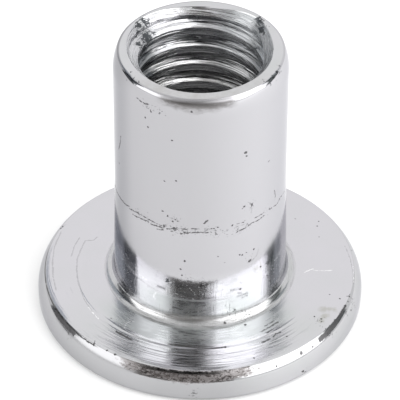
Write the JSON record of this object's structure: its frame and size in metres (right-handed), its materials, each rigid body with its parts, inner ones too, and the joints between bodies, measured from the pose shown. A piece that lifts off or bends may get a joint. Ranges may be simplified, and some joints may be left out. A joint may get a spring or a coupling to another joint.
{
  "type": "rivet nut",
  "caption": "Plated steel rivet nut: a wide round flange carries a tubular barrel that is plain near the flange and threaded at its far end.",
  "frame": {"origin": "centre of the flange's outer face", "axes": "+Z along the barrel, from the flange to the threaded rim; X and Y are equivalent"},
  "size_m": [0.0188, 0.0188, 0.0176],
  "materials": {
    "zinc_steel": "bright zinc plate, smooth with fine turning marks"
  },
  "bodies": {
    "root": {"nut_body": "zinc_steel"}
  },
  "joints": []
}
